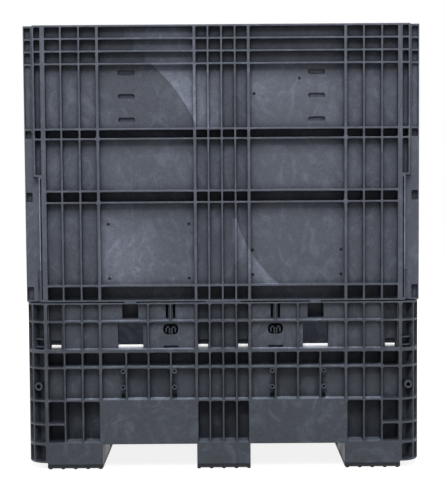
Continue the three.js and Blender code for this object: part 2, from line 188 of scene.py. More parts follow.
# Middle and thickness of each rib on one half of a side, from the side's middle to its corner
def rib_lines(half):
    corner = half - corner_inset
    return [(0, thin_rib), (centre_pitch, thin_rib), (2 * centre_pitch, thick_rib),
            (corner - 3 * corner_pitch, thick_rib), (corner - 2 * corner_pitch, thin_rib),
            (corner - corner_pitch, thin_rib), (corner, thick_rib)]


# The wide field lies between the third rib and the fourth
def field_edges(half):
    lines = rib_lines(half)
    return lines[2][0], lines[3][0]


def field_middle(half):
    return sum(field_edges(half)) / 2


def with_field(half, steps):
    middle = field_middle(half)
    return sorted(rib_lines(half) + [(middle + step * field_pitch, thin_rib) for step in steps])


def bays(lines):
    one = [(a[0] + a[1] / 2, b[0] - b[1] / 2) for a, b in zip(lines, lines[1:])]
    return one + [(-b, -a) for a, b in one]


base_mesh = bmesh.new()
outer_loop = rounded_loop(-half_width, half_width, -half_length, half_length, corner_radius, corner_steps)
extruded(base_mesh, outer_loop, deck_underside, rim_top, upright)
base = softened(new_object("base_moulding", base_mesh), base_soft)
hold = bmesh.new()
inner_loop = rounded_loop(side_rim - half_width, half_width - side_rim, end_rim - half_length,
                          half_length - end_rim, inner_corner_radius, inner_corner_steps)
extruded(hold, inner_loop, deck_top, rim_top + far_past, upright)
carve(base, softened(new_object("hold", hold), hold_soft))

# Feet of the base, and the corner posts beside them, which stop a little higher
foot_x = field_edges(half_width)[1] - thick_rib / 2
foot_y = field_edges(half_length)[1] - thick_rib / 2
post_x = half_width - corner_radius
bands_x = [(-post_x, -foot_x), (-foot_half, foot_half), (foot_x, post_x)]
bands_y = [(-half_length, -foot_y), (-foot_half, foot_half), (foot_y, half_length)]
foot_top = deck_underside + foot_sink
feet = bmesh.new()
for x0, x1 in bands_x:
    for y0, y1 in bands_y:
        extruded(feet, [(x0, y0), (x1, y0), (x1, y1), (x0, y1)], foot_bottom, foot_top, upright)
carve(base, softened(new_object("feet", feet), base_soft), "UNION")
posts = bmesh.new()
post_lap = 4
for sign_x in (-1, 1):
    for low, high in bands_y:
        inner = post_x - post_lap
        points = [(x, y) for x, y in outer_loop if x * sign_x > inner and low - past < y < high + past]
        if low == -high:
            points = [(sign_x * half_width, low), (sign_x * half_width, high)]
        else:
            straight = foot_y if low > 0 else -foot_y
            points.append((sign_x * half_width, straight))
        points += [(sign_x * inner, low), (sign_x * inner, high)]
        middle = [sum(axis) / len(points) for axis in zip(*points)]
        points = sorted({(round(x, 4), round(y, 4)) for x, y in points},
                        key=lambda p: math.atan2(p[1] - middle[1], p[0] - middle[0]))
        extruded(posts, points, post_bottom, foot_top, upright)
carve(base, softened(new_object("posts", posts), post_soft, 3), "UNION")

# Pockets between the ribs, also round the four corners
notch_reach = 12
corner_soft, corner_slices = 1, 6
cutters = bmesh.new()
for name, side in sides.items():
    half, place = side["half"], side["place"]
    lines = rib_lines(half)
    field_start, field_end = field_edges(half)
    corner_cell_start = lines[-2][0]
    deep = side["rim"] - skin
    shadow_depth = window_depth if shadow_row[1] > side["rod_height"] - notch_reach else deep
    for bay in bays(with_field(half, [-1, 0])):
        pocket(cutters, bay, rim_row, window_depth, place)
    for bay in bays(with_field(half, [0])):
        pocket(cutters, bay, window_row, window_depth, place)
    for bay in bays(with_field(half, [-1, 0, 1])):
        pocket(cutters, bay, shadow_row, shadow_depth, place)
        pocket(cutters, bay, plate_row, plate_depth, place)
    for bay in bays(lines):
        middle = abs(bay[0] + bay[1]) / 2
        if field_start < middle < field_end:
            continue
        if middle > corner_cell_start:
            pocket(cutters, bay, (skirt_row[0], foot_rib - thin_rib / 2), deep, place)
            pocket(cutters, bay, (foot_rib + thin_rib / 2, skirt_row[1]), deep, place)
        else:
            pocket(cutters, bay, skirt_row, deep, place)
corner_rows = [(post_bottom + thin_rib, deck_underside - thin_rib / 2),
               (skirt_row[0], foot_rib - thin_rib / 2), (foot_rib + thin_rib / 2, skirt_row[1]),
               plate_row, shadow_row, window_row, rim_row]


# A corner's own frame: round its arc, inward from its outer face, and up
def corner_place(sign_x, sign_y, start):
    centre = Vector((sign_x * (half_width - corner_radius), sign_y * (half_length - corner_radius)))

    def place(s, u, z):
        angle = math.radians(start) + s / corner_radius
        reach = corner_radius - u
        return upright(centre.x + reach * math.cos(angle), centre.y + reach * math.sin(angle), z)
    return place


corners = [corner_place(*at) for at in ((1, 1, 0), (-1, 1, 90), (-1, -1, 180), (1, -1, 270))]
quarter = corner_radius * math.pi / 2
corner_edge = thick_rib / 2 + corner_soft
sectors = [(corner_edge, quarter / 2 - thin_rib / 2), (quarter / 2 + thin_rib / 2, quarter - corner_edge)]
for place in corners:
    for sector in sectors:
        for row in corner_rows:
            pocket(cutters, sector, row, corner_depth, place, side_steps=corner_slices)
carve(base, new_object("side_pockets", cutters))


# Underside of the deck: square pockets between the rows of feet
under_pitch, under_depth = 150, 45


def under_bays(inner, outer):
    count = max(1, round((outer - inner) / under_pitch))
    pitch = (outer - inner - thin_rib) / count
    return [(inner + thin_rib + i * pitch, inner + (i + 1) * pitch) for i in range(count)]


def under_place(s, u, z):
    return upright(s, z, deck_underside + u)


def mirrored(sign, bay):
    return sorted((sign * bay[0], sign * bay[1]))


under = bmesh.new()
for bay_x in under_bays(foot_half, foot_x):
    for bay_y in under_bays(foot_half, foot_y):
        for sign_x in (-1, 1):
            for sign_y in (-1, 1):
                pocket(under, mirrored(sign_x, bay_x), mirrored(sign_y, bay_y), under_depth, under_place)
carve(base, new_object("under_pockets", under))

# Rod channels behind the rims, and the notches that the walls' arms turn in
window_from_field, wide_window, window_soft = 51.5, 73, 0.8
arm_width, arm_gap, notch_gap, rod_gap = 24, 6, 1.5, 0.3
window_at = {name: field_middle(side["half"]) + window_from_field for name, side in sides.items()}
arm_step = wide_window / 2 + arm_gap + arm_width / 2
notch_half = arm_width / 2 + notch_gap
channel_half = rod_radius + rod_gap


def arm_places(name):
    return [sign * (window_at[name] + step) for sign in (-1, 1) for step in (-arm_step, arm_step)]


def channel_reach(name):
    across = side_rim if name in ends else end_rim
    return sides[name]["half"] - across - inner_corner_radius


channels, notches = bmesh.new(), bmesh.new()
for name, side in sides.items():
    place, rod, inside = side["place"], side["rod_height"], side["rim"] + past
    reach = channel_reach(name)
    block(channels, -reach, reach, side["rod_depth"] - channel_half, inside,
          rod - channel_half, rod + channel_half, place)
    for middle in arm_places(name):
        block(notches, middle - notch_half, middle + notch_half, side["rod_depth"] - notch_reach, inside,
              rod - notch_reach, rim_top + past, place)
carve(base, new_object("channels", channels))
carve(base, new_object("notches", notches))

# Deeper steps in the cells of the end sides: windows onto the rod, latch pockets, slits and plate hollows
step_corner, rim_window = 3, 46
rod_slot_half, rod_slot_height, rod_slot_soft = 14, 24, 0.4
slit_width, slit_low, slit_high, slit_depth = 42, 2, 9, 17
latch_width, latch_row, latch_depth, latch_corner = 43, (window_row[1] - 36, window_row[1] - 5), 40, 12
latch_slot_step, latch_slot_width = 10, 7
hollow_half, hollow_step, hollow_corner = 28, 9, 4
rim_opening_row = (rim_row[0] + thin_rib, rim_row[1])
windows, slots = bmesh.new(), bmesh.new()


def opening(place, middle, width, row, depth, radius=2):
    bay = (middle - width / 2, middle + width / 2)
    pocket(windows, bay, row, depth, place, radius, edge=window_soft, mouth=window_depth)


for name in ends:
    side = sides[name]
    place = side["place"]
    field = field_middle(side["half"])
    row = window_row if side["rod_height"] > window_row[0] else shadow_row
    sill = max(row[0], side["rod_height"] - channel_half)
    lines = rib_lines(side["half"])
    outer_cell, corner_cell = (lines[-4][0] + lines[-3][0]) / 2, (lines[-2][0] + lines[-1][0]) / 2
    # Each stepped cell's middle and width, its depths in the window row and the rim, and if it has a slot
    stepped_cells = [(corner_cell, 36, 27, 24, True), (1.5 * centre_pitch, 31, 27, 24, True),
                     (centre_pitch / 2, 31, 20, 17, False), (outer_cell, 41, 15, 14, False)]
    for sign in (-1, 1):
        window, latch = sign * window_at[name], sign * (field - field_pitch)
        opening(place, window, wide_window, (sill, row[1]), side["rim"] + past)
        for at, width, depth, rim_depth, slotted in stepped_cells:
            opening(place, sign * at, width, row, depth, step_corner)
            opening(place, sign * at, width, rim_row, rim_depth, step_corner)
            if slotted:
                slot = (sign * at - rod_slot_half, sign * at + rod_slot_half)
                pocket(slots, slot, (sill, sill + rod_slot_height), side["rod_depth"], place, 1,
                       edge=rod_slot_soft, mouth=depth)
        opening(place, latch, slit_width, (row[0] + slit_low, row[0] + slit_high), slit_depth, radius=1)
        opening(place, window, rim_window, rim_opening_row, side["rim"] - skin)
        for step in (-0.5, 0.5):
            middle = sign * (field + step * field_pitch)
            pocket(slots, (middle - hollow_half, middle + hollow_half), plate_row, plate_depth + hollow_step,
                   place, hollow_corner, edge=1, mouth=plate_depth)
        opening(place, latch, latch_width, latch_row, latch_depth, latch_corner)
        for step in (-latch_slot_step, latch_slot_step):
            opening(place, latch + step, latch_slot_width, rim_opening_row, latch_depth)
carve(base, new_object("windows", windows))
carve(base, new_object("slots", slots))

# Small parts of the base's end sides: screw bosses beside the field ribs, a ring boss and two shelves in the
# corner cells, a bent spring in each latch pocket, and dips in the rim under the tabs of the wall
boss_radius, boss_bore, boss_front = 7.2, 3.8, 1.5
boss_root, bore_root = 4, 10
boss_rows, boss_steps = (283.5, 237), (field_pitch + 9.5, -field_pitch - 10)
boss_cell_half, boss_cell_lap, boss_cell_row = 6, 2, (202, 216)
spring_front, spring_back, spring_leg_half, spring_leg_top = 14, 41, 1.7, 411
spring_legs = ((-13, 394), (-3.4, 390), (3.4, 390), (13, 394))
spring_arches, spring_arch_half, spring_arch_row = (-8.2, 8.2), 6.4, (407, 411.5)
tab_at, tab_half, tab_gap, dip_bottom = 265, 17, 1.5, 473.5
ring_inset, ring_height, ring_radius, ring_bore = 33, 240, 11.5, 6.2
ring_front, ring_back, ring_floor, ring_mouth = 9, 32, 30, 5
shelf_front, shelf_lap, shelf_thickness, shelf_rows = 9, 3, 4, (352.5, 375)
bosses, bores = bmesh.new(), bmesh.new()


def circle(s, z, radius, steps=24):
    turns = [math.tau * i / steps for i in range(steps)]
    return [(s + radius * math.cos(turn), z + radius * math.sin(turn)) for turn in turns]


def round_bar(bm, s, z, radius, u0, u1, place, steps=24):
    extruded(bm, circle(s, z, radius, steps), u0, u1, lambda a, b, u: place(a, u, b))


for name in ends:
    place = sides[name]["place"]
    field = field_middle(half_width)
    for s in [sign * (field + step) for sign in (-1, 1) for step in boss_steps]:
        for z in boss_rows:
            round_bar(bosses, s, z, boss_radius, boss_front, plate_depth + boss_root, place)
            round_bar(bores, s, z, boss_bore, 0, plate_depth + bore_root, place)
        block(bores, s - boss_cell_half, s + boss_cell_half, plate_depth - boss_cell_lap,
              plate_depth + hollow_step, *boss_cell_row, place)
    for sign in (-1, 1):
        latch, tab, ring_at = sign * (field - field_pitch), sign * tab_at, sign * (half_width - ring_inset)
        for step, low in spring_legs:
            leg = latch + step
            block(bosses, leg - spring_leg_half, leg + spring_leg_half, spring_front, spring_back,
                  low, spring_leg_top, place)
        for step in spring_arches:
            arch = latch + step
            block(bosses, arch - spring_arch_half, arch + spring_arch_half, spring_front, spring_back,
                  *spring_arch_row, place)
        block(bores, tab - tab_half - tab_gap, tab + tab_half + tab_gap, -past, end_rim + past,
              dip_bottom, rim_top + past, place)
        round_bar(bosses, ring_at, ring_height, ring_radius, ring_front, ring_back, place)
        round_bar(bores, ring_at, ring_height, ring_bore, ring_mouth, ring_floor, place)
for place in corners:
    for sector in sectors:
        span = (sector[1] - sector[0] + 2 * past) / corner_slices
        steps = [sector[0] - past + span * i for i in range(corner_slices + 1)]
        shelf = [(s, shelf_front) for s in steps] + [(s, corner_depth + shelf_lap) for s in reversed(steps)]
        for z in shelf_rows:
            extruded(bosses, shelf, z, z + shelf_thickness, place)
carve(base, new_object("bosses", bosses), "UNION")
carve(base, new_object("bores", bores))


# Dark grey polyethylene: a cloudy tone from the foaming melt, fine grain from the mould, pale scuffs, and
# streaks where the melt flowed. Crevices and recesses get painted shade, and marks can add painted
# highlights and painted shade. The walls and the base are the same plastic in two shades.
def linear(value):
    value /= 255
    return value / 12.92 if value <= 0.04045 else ((value + 0.055) / 1.055) ** 2.4


def plastic(name, shade, cloud, roughness, seed, marks=()):
    material = bpy.data.materials.new(name)
    material.use_nodes = True
    nodes, links = material.node_tree.nodes, material.node_tree.links
    shader = nodes["Principled BSDF"]
    coords = nodes.new("ShaderNodeTexCoord")

    def wire(value, socket):
        if hasattr(value, "is_linked"):
            links.new(value, socket)
        else:
            socket.default_value = value

    def maths(kind, *values):
        node = nodes.new("ShaderNodeMath")
        node.operation = kind
        for value, socket in zip(values, node.inputs):
            wire(value, socket)
        return node.outputs[0]

    def remap(source, low, high, bottom, top):
        node = nodes.new("ShaderNodeMapRange")
        node.interpolation_type = "SMOOTHSTEP"
        for value, socket in zip((source, low, high, bottom, top), node.inputs):
            wire(value, socket)
        return node.outputs["Result"]

    def noise(scale, detail, stretch=1.0, shift=0.0, distortion=0.0):
        mapping = nodes.new("ShaderNodeMapping")
        mapping.inputs["Scale"].default_value = (1, 1, stretch)
        mapping.inputs["Location"].default_value = (seed + shift, seed * 2, seed * 3)
        texture = nodes.new("ShaderNodeTexNoise")
        texture.inputs["Scale"].default_value = scale
        texture.inputs["Detail"].default_value = detail
        texture.inputs["Distortion"].default_value = distortion
        links.new(coords.outputs["Object"], mapping.inputs["Vector"])
        links.new(mapping.outputs["Vector"], texture.inputs["Vector"])
        return texture.outputs["Fac"]

    # Each effect scales the brightness of the plain shade
    clouds = remap(noise(scale=4.5, detail=3, distortion=0.7),
                   low=0.32, high=0.7, bottom=1 - cloud, top=1 + cloud)
    swirls = remap(noise(scale=13, detail=5, stretch=0.7, shift=3.1, distortion=2.8),
                   low=0.48, high=0.68, bottom=0.92, top=1 + 3.2 * cloud)
    blotches = remap(noise(scale=45, detail=4, shift=6.4, distortion=1.0),
                     low=0.35, high=0.7, bottom=0.95, top=1.08)
    grain = remap(noise(scale=330, detail=2, shift=1.7), low=0.25, high=0.75, bottom=0.84, top=1.16)
    scuffs = remap(noise(scale=60, detail=9, stretch=1.6, shift=5.3, distortion=0.5),
                   low=0.64, high=0.7, bottom=1.0, top=1.16)
    # Painted shade: the colour darkens where an ambient occlusion node finds surfaces close by, in corners,
    # crevices and deep pockets
    crevices = nodes.new("ShaderNodeAmbientOcclusion")
    crevices.samples, crevices.only_local = 6, True
    crevices.inputs["Distance"].default_value = 0.05
    openness = crevices.outputs["AO"]
    painted_crevice_shade = remap(openness, low=0.2, high=0.88, bottom=0.44, top=1.0)
    level = maths("MULTIPLY", clouds, swirls)
    for effect in (blotches, grain, scuffs, painted_crevice_shade):
        level = maths("MULTIPLY", level, effect)

    # A mark lightens or darkens the colour in a soft glow round a point or a ring, cut off by a box in x, y
    # and z. Marks are used for flow marks, painted highlights and painted shade.
    split = nodes.new("ShaderNodeSeparateXYZ")
    links.new(coords.outputs["Object"], split.inputs[0])
    x, y, z = split.outputs
    for (mark_x, mark_z), radius, fade, (x0, x1), (y0, y1), (z0, z1), strength in marks:
        across = maths("SUBTRACT", x, mark_x)
        up = maths("SUBTRACT", z, mark_z)
        away = maths("SQRT", maths("ADD", maths("MULTIPLY", across, across), maths("MULTIPLY", up, up)))
        glow = remap(away, radius, radius + fade, strength, 0.0)
        if radius:
            glow = maths("MULTIPLY", glow, maths("GREATER_THAN", away, radius))
        for value, start, end in ((x, x0, x1), (y, y0, y1), (z, z0, z1)):
            glow = maths("MULTIPLY", glow, maths("COMPARE", value, (start + end) / 2, (end - start) / 2))
        level = maths("MULTIPLY", level, maths("ADD", glow, 1.0))
    tone = nodes.new("ShaderNodeVectorMath")
    tone.operation = "SCALE"
    tone.inputs[0].default_value = tuple(linear(c) for c in shade)
    links.new(level, tone.inputs["Scale"])
    links.new(tone.outputs[0], shader.inputs["Base Color"])
    wear = remap(noise(scale=14, detail=6, shift=8.8),
                 low=0.3, high=0.7, bottom=roughness - 0.08, top=roughness + 0.1)
    # The same occlusion lowers the specular level in crevices, so reflections there are dimmed as painted
    # shade
    sheen = remap(openness, low=0.3, high=0.95, bottom=0.06, top=0.3)
    links.new(wear, shader.inputs["Roughness"])
    links.new(sheen, shader.inputs["Specular IOR Level"])
    bump = nodes.new("ShaderNodeBump")
    bump.inputs["Strength"].default_value = 0.2
    bump.inputs["Distance"].default_value = 0.0012
    links.new(noise(scale=240, detail=3, shift=2.2), bump.inputs["Height"])
    links.new(bump.outputs["Normal"], shader.inputs["Normal"])
    return material


sharp_angle = math.radians(50)


def finish(piece, material, body, node):
    piece.data.materials.clear()
    piece.data.materials.append(material)
    piece.data.polygons.foreach_set("use_smooth", [True] * len(piece.data.polygons))
    piece.data.polygons.foreach_set("material_index", [0] * len(piece.data.polygons))
    piece.data.set_sharp_from_angle(angle=sharp_angle)
    even = piece.modifiers.new("even", "WEIGHTED_NORMAL")
    even.keep_sharp = True
    applied(piece)
    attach(piece, body)
    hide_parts(node)


# Painted highlights along the sills of the base's rows, where the pocket floors face up to the lamps, in
# metres, with the strength of each
sill_painted_highlight = {skirt_row: 2.0, plate_row: 3.5, shadow_row: 3.5, window_row: 2.5, rim_row: 2.0}
sill_across, sill_deep, sill_fade = (-0.46, 0.46), (-0.602, -0.552), 3.0
sill_below, sill_above = 0.001, 0.003
base_painted_highlights = [((0, row[0] * mm), 0, sill_fade, sill_across, sill_deep,
               (row[0] * mm - sill_below, row[0] * mm + sill_above), strength)
              for row, strength in sill_painted_highlight.items()]
base_plastic = plastic("base_plastic", shade=(78, 83, 93), cloud=0.11, roughness=0.42, seed=2.0,
                       marks=base_painted_highlights)
finish(base, base_plastic, "box", "base")

# End walls: one moulding each, 42 mm thick, with deep channels and wide panels between the ribs, stepped
# edges that lock into the side walls, and four arms that reach down behind the hinge rod.
wall_lift, setback, end_thickness, wall_gap = 3, 1.5, 42, 1.5
wall_bottom = rim_top + wall_lift
wall_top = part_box("front_wall")[1].z / mm
step_height, post_width = 842, 42
wall_soft, wall_corner, wall_edge, end_last_rib = 1.6, 3, 1.1, 13
wall_rows = [("top", 1233.5, 1264), ("top", 1198, 1228.5), ("top", 1162.5, 1193), ("panel", 978.5, 1157.5),
             ("channel", 951, 973.5), ("panel", 802.5, 946), ("channel", 770, 797.5), ("panel", 532, 765),
             ("channel", 488, 527)]
row_depth = {"top": 18, "panel": 20, "channel": 38}
label_inset, label_width, label_height = 57, 48, 14
label_top, label_drop, label_count = 1143.5, 67, 3
label_depth, label_corner, label_soft = 26.5, 6, 0.6
pit_places = [(-327, 705), (-96, 705), (-325, 549), (-96, 549), (86, 629), (86, 558), (340, 629), (340, 558),
              (93, 1075), (222, 1118)]
pit_radius, pit_depth, pit_steps, stick_out = 4.4, 5, 16, 3
groove_far, groove_near, groove_depth = 7.3, 3.6, 13
groove_bottom, groove_drop = 492, 5
bead_far, bead_near, bead_front = 3.2, 0.2, 0.2
bead_bottom, bead_drop = 574, 1
tab_thickness, tab_drop, wall_lap = 7, 7, 2
tongue_half, tongue_thickness, tongue_drop = 51, 9, 1.8
disc_radius, disc_proud, disc_lap, disc_rows = 7.5, 0.7, 3, (767.5, 948.5)

# Marks on the outer faces, in metres: centre, radius, fade, the box in x, y and z, strength. The first five
# are flow marks; then come a painted highlight on the lower left panel, marks that lighten the upper right
# and middle right panels and darken the upper left one, painted shade on the floors of the top rows, and
# painted highlights along the two beads.
outer_skin = (-0.61, -0.575)
left_panel, left_half = (-0.352, -0.076), (-0.352, 0.0)
right_panel, right_half = (0.08, 0.352), (0.076, 0.352)
low_panel, high_panel, middle_panel = (0.532, 0.765), (0.978, 1.16), (0.8, 0.95)
bead_line = (0.574, 0.842)
wall_marks_and_painted_light = [
    ((-0.4916, 0.815), 0.452, 0.17, left_half, outer_skin, high_panel, 1.2),
    ((-0.15, 1.24), 0, 0.22, (-0.274, -0.08), outer_skin, (1.233, 1.262), 1.2),
    ((-0.13, 1.20), 0, 0.22, (-0.25, -0.08), outer_skin, (1.198, 1.229), 1.2),
    ((-0.11, 1.17), 0, 0.22, (-0.217, -0.08), outer_skin, (1.162, 1.193), 1.1),
    ((0.3908, 0.8114), 0.362, 0.07, (0.03, 0.18), outer_skin, (0.532, 0.72), 0.9),
    # Painted highlight: a lamp's soft reflection on the lower left panel
    ((-0.29, 0.61), 0, 0.17, left_panel, outer_skin, low_panel, 0.9),
    ((0.13, 1.12), 0, 0.2, right_panel, outer_skin, high_panel, 0.3),
    ((-0.25, 1.08), 0, 0.24, left_panel, outer_skin, high_panel, -0.25),
    ((0.16, 0.9), 0, 0.3, right_half, outer_skin, middle_panel, 0.12),
    # Painted shade: the floors of the top rows darkened, where the ribs above shade them
    ((0, 1.21), 0, 3.0, (-0.54, 0.54), (-0.6015, -0.575), (1.1615, 1.265), -0.3),
    # Painted highlights: thin pale lines where the rounded edge at each post catches the light
    ((-0.52, 0.71), 0, 0.6, (-0.5218, -0.5178), outer_skin, bead_line, 1.3),
    ((0.52, 0.71), 0, 0.6, (0.5178, 0.5218), outer_skin, bead_line, 1.3),
]
wall_plastic = plastic("wall_plastic", shade=(92, 97, 109), cloud=0.07, roughness=0.42, seed=5.0,
                       marks=wall_marks_and_painted_light)


def wall_pockets(bm, half, place, thickness, last_rib, edge_bay=None):
    lines = rib_lines(half)
    lines[-1] = (lines[-1][0], last_rib)
    for kind, low, high in wall_rows:
        depth = min(row_depth[kind], thickness - skin)
        for bay in bays(lines):
            pocket(bm, bay, (low, high), depth, place, wall_corner, edge=wall_edge)
        if edge_bay and high > step_height + thin_rib:
            for sign in (-1, 1):
                pocket(bm, mirrored(sign, edge_bay), (max(low, step_height + thin_rib), high), depth, place,
                       wall_corner, edge=wall_edge)


# The arm hangs from the wall behind the rod, with a round groove that turns on it
def arm_outline(side):
    groove, tip, thickness, lap, steps = 5.4, 4.5, 9.5, 4, 12
    start, end = math.pi / 2, -math.asin(tip / groove)
    depth, height = side["rod_depth"], side["rod_height"]
    turns = [start + (end - start) * i / steps for i in range(steps + 1)]
    points = [(depth + groove * math.cos(turn), height + groove * math.sin(turn)) for turn in turns]
    back = depth + thickness
    return points + [(back, height - tip), (back, wall_bottom + lap), (depth, wall_bottom + lap)]


def add_arms(wall, name):
    place = sides[name]["place"]
    arms = bmesh.new()
    for middle in arm_places(name):
        extruded(arms, arm_outline(sides[name]), middle - arm_width / 2, middle + arm_width / 2,
                 lambda u, z, s: place(s, u, z))
    carve(wall, new_object("arms", arms), "UNION")


def wall_face(name):
    place = sides[name]["place"]
    return lambda s, u, z: place(s, u + setback, z)


for name in ends:
    place, face = sides[name]["place"], wall_face(name)
    upper, lower = half_width - side_rim - wall_gap, half_width - post_width - wall_gap
    points = [(-lower, wall_bottom), (lower, wall_bottom), (lower, step_height), (upper, step_height),
              (upper, wall_top), (-upper, wall_top), (-upper, step_height), (-lower, step_height)]
    plate = bmesh.new()
    extruded(plate, points, setback, setback + end_thickness, lambda s, z, u: place(s, u, z))
    wall = softened(new_object(name + "_wall_moulding", plate), wall_soft)
    pockets = bmesh.new()
    last = rib_lines(half_width)[-1][0] + end_last_rib / 2
    wall_pockets(pockets, half_width, face, end_thickness, end_last_rib, (last, upper - thin_rib))
    carve(wall, new_object("wall_pockets", pockets))
    slots = bmesh.new()
    field_end = field_edges(half_width)[1]
    edge = field_end - label_inset
    for sign in (-1, 1):
        for i in range(label_count):
            top = label_top - label_drop * i
            pocket(slots, mirrored(sign, (edge, edge - label_width)), (top - label_height, top), label_depth,
                   face, label_corner, edge=label_soft, mouth=row_depth["panel"])
    carve(wall, new_object("label_slots", slots))

    # Pin pits and a groove along each edge, then tabs, a tongue, beads and discs that stand proud
    pits, proud = bmesh.new(), bmesh.new()
    for s, z in pit_places:
        round_bar(pits, s, z, pit_radius, row_depth["panel"] - stick_out, row_depth["panel"] + pit_depth,
                  face, pit_steps)
    for sign in (-1, 1):
        groove = mirrored(sign, (lower - groove_far, lower - groove_near))
        block(pits, *groove, -stick_out, groove_depth, groove_bottom, step_height - groove_drop, face)
    carve(wall, new_object("pits", pits))
    for s in (-tab_at, tab_at):
        block(proud, s - tab_half, s + tab_half, setback, setback + tab_thickness,
              wall_bottom - tab_drop, wall_bottom + wall_lap, place)
    block(proud, -tongue_half, tongue_half, setback, setback + tongue_thickness,
          wall_bottom - tongue_drop, wall_bottom + wall_lap, place)
    for sign in (-1, 1):
        bead = mirrored(sign, (lower - bead_far, lower - bead_near))
        block(proud, *bead, bead_front, setback + disc_lap, bead_bottom, step_height - bead_drop, place)
        for z in disc_rows:
            round_bar(proud, sign * field_end, z, disc_radius, setback - disc_proud,
                      setback + disc_lap, place)
    carve(wall, softened(new_object("proud_parts", proud), 1), "UNION")
    add_arms(wall, name)
    finish(wall, wall_plastic, name + "_wall", name + "_wall")

# Side walls: thinner mouldings of the same plastic between the end walls, with a post at each end that the
# end wall hooks onto. They fold last, so they stand with the base here.
side_thickness, side_inset = 25.5, 18.5
lock_post_width, lock_post_drop, lock_soft = 30, 3, 1.6
hook_lap, hook_out, hook_lift, hook_soft = 2, 1.6, 3, 0.5
hook_front, hook_back, hook_top = 33, 36, 572
hook_cap, hook_cap_inset = (569, 572.5), 0.5
cell_inset, cell_near, cell_far = 20, 5, 22.5
cell_depth, cell_panel_depth = 12, 7
for name in ("left", "right"):
    place, face = sides[name]["place"], wall_face(name)
    reach = half_length - setback - side_inset
    plate = bmesh.new()
    block(plate, -reach, reach, setback, setback + side_thickness, wall_bottom, wall_top, place)
    wall = softened(new_object(name + "_wall_moulding", plate), wall_soft)
    lock_posts, hooks = bmesh.new(), bmesh.new()
    for sign in (-1, 1):
        post = mirrored(sign, (reach, reach - lock_post_width))
        block(lock_posts, *post, setback, post_width, wall_bottom, step_height - lock_post_drop, place)
        hook = mirrored(sign, (reach - hook_lap, reach + hook_out))
        block(hooks, *hook, hook_front, hook_back, wall_bottom + hook_lift, hook_top, place)
        block(hooks, *hook, hook_front, post_width - hook_cap_inset, *hook_cap, place)
    carve(wall, softened(new_object("lock_posts", lock_posts), lock_soft), "UNION")
    carve(wall, softened(new_object("hooks", hooks), hook_soft), "UNION")
    pockets = bmesh.new()
    wall_pockets(pockets, half_length, face, side_thickness, thick_rib)
    carve(wall, new_object("wall_pockets", pockets))
    cells = bmesh.new()
    for end in ends:
        toward = 1 if (end == "front") == (name == "right") else -1
        end_place = sides[end]["place"]
        cell = mirrored(toward, (half_width - cell_near, half_width - cell_far))
        for kind, low, high in wall_rows:
            if kind == "channel" or low > step_height:
                pocket(cells, cell, (low, high), cell_panel_depth if kind == "panel" else cell_depth,
                       lambda s, u, z: end_place(s, u + cell_inset, z), wall_corner, edge=1)
    carve(wall, new_object("cells", cells))
    add_arms(wall, name)
    finish(wall, wall_plastic, "box", name + "_wall")

# Hinge rods: pale round rods, 10 mm thick, that lie in the channels of the base. They show as white bars
# in the windows, with a faint painted glow: an emission that brightens them, though they are no lamp.
rod_steps, rod_soft, rod_end_gap = 32, 0.8, 0.3


def speckled(name, scale, dark, pale, roughness):
    material = bpy.data.materials.new(name)
    material.use_nodes = True
    nodes, links = material.node_tree.nodes, material.node_tree.links
    coords, texture, ramp = (nodes.new(kind) for kind in
                             ("ShaderNodeTexCoord", "ShaderNodeTexNoise", "ShaderNodeValToRGB"))
    texture.inputs["Scale"].default_value = scale
    for element, colour in zip(ramp.color_ramp.elements, (dark, pale)):
        element.color = (*colour, 1)
    links.new(coords.outputs["Object"], texture.inputs["Vector"])
    links.new(texture.outputs["Fac"], ramp.inputs["Fac"])
    shader = nodes["Principled BSDF"]
    links.new(ramp.outputs["Color"], shader.inputs["Base Color"])
    shader.inputs["Roughness"].default_value = roughness
    return material, shader


rod_white_painted_glow, rod_shader = speckled("rod_white_painted_glow", scale=60, dark=(0.93, 0.93, 0.92),
                                 pale=(0.98, 0.98, 0.97), roughness=0.4)
# Painted glow: a faint white emission on the rods
rod_shader.inputs["Emission Color"].default_value = (1, 1, 1, 1)
rod_shader.inputs["Emission Strength"].default_value = 0.25
for name, side in sides.items():
    place, reach = side["place"], channel_reach(name) - rod_end_gap
    bar = bmesh.new()
    extruded(bar, circle(side["rod_depth"], side["rod_height"], rod_radius, rod_steps), -reach, reach,
             lambda u, z, s: place(s, u, z))
    rod = softened(new_object("rod_" + name, bar), rod_soft)
    finish(rod, rod_white_painted_glow, "box", "hinge_rod_" + name)

# Rod clips: moulded blocks of the base's own plastic, which snap in behind each rod and close its channel.
# They are plain blocks, so the solids are kept and only get soft edges.
clip_soft = 0.6
for node in sorted(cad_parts):
    if node.startswith("rod_clip"):
        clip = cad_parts[node]
        clip.data.materials.clear()
        clip.data.materials.append(base_plastic)
        bevel = clip.modifiers.new("soften", "BEVEL")
        bevel.width, bevel.segments, bevel.angle_limit = clip_soft * mm, 2, soft_angle

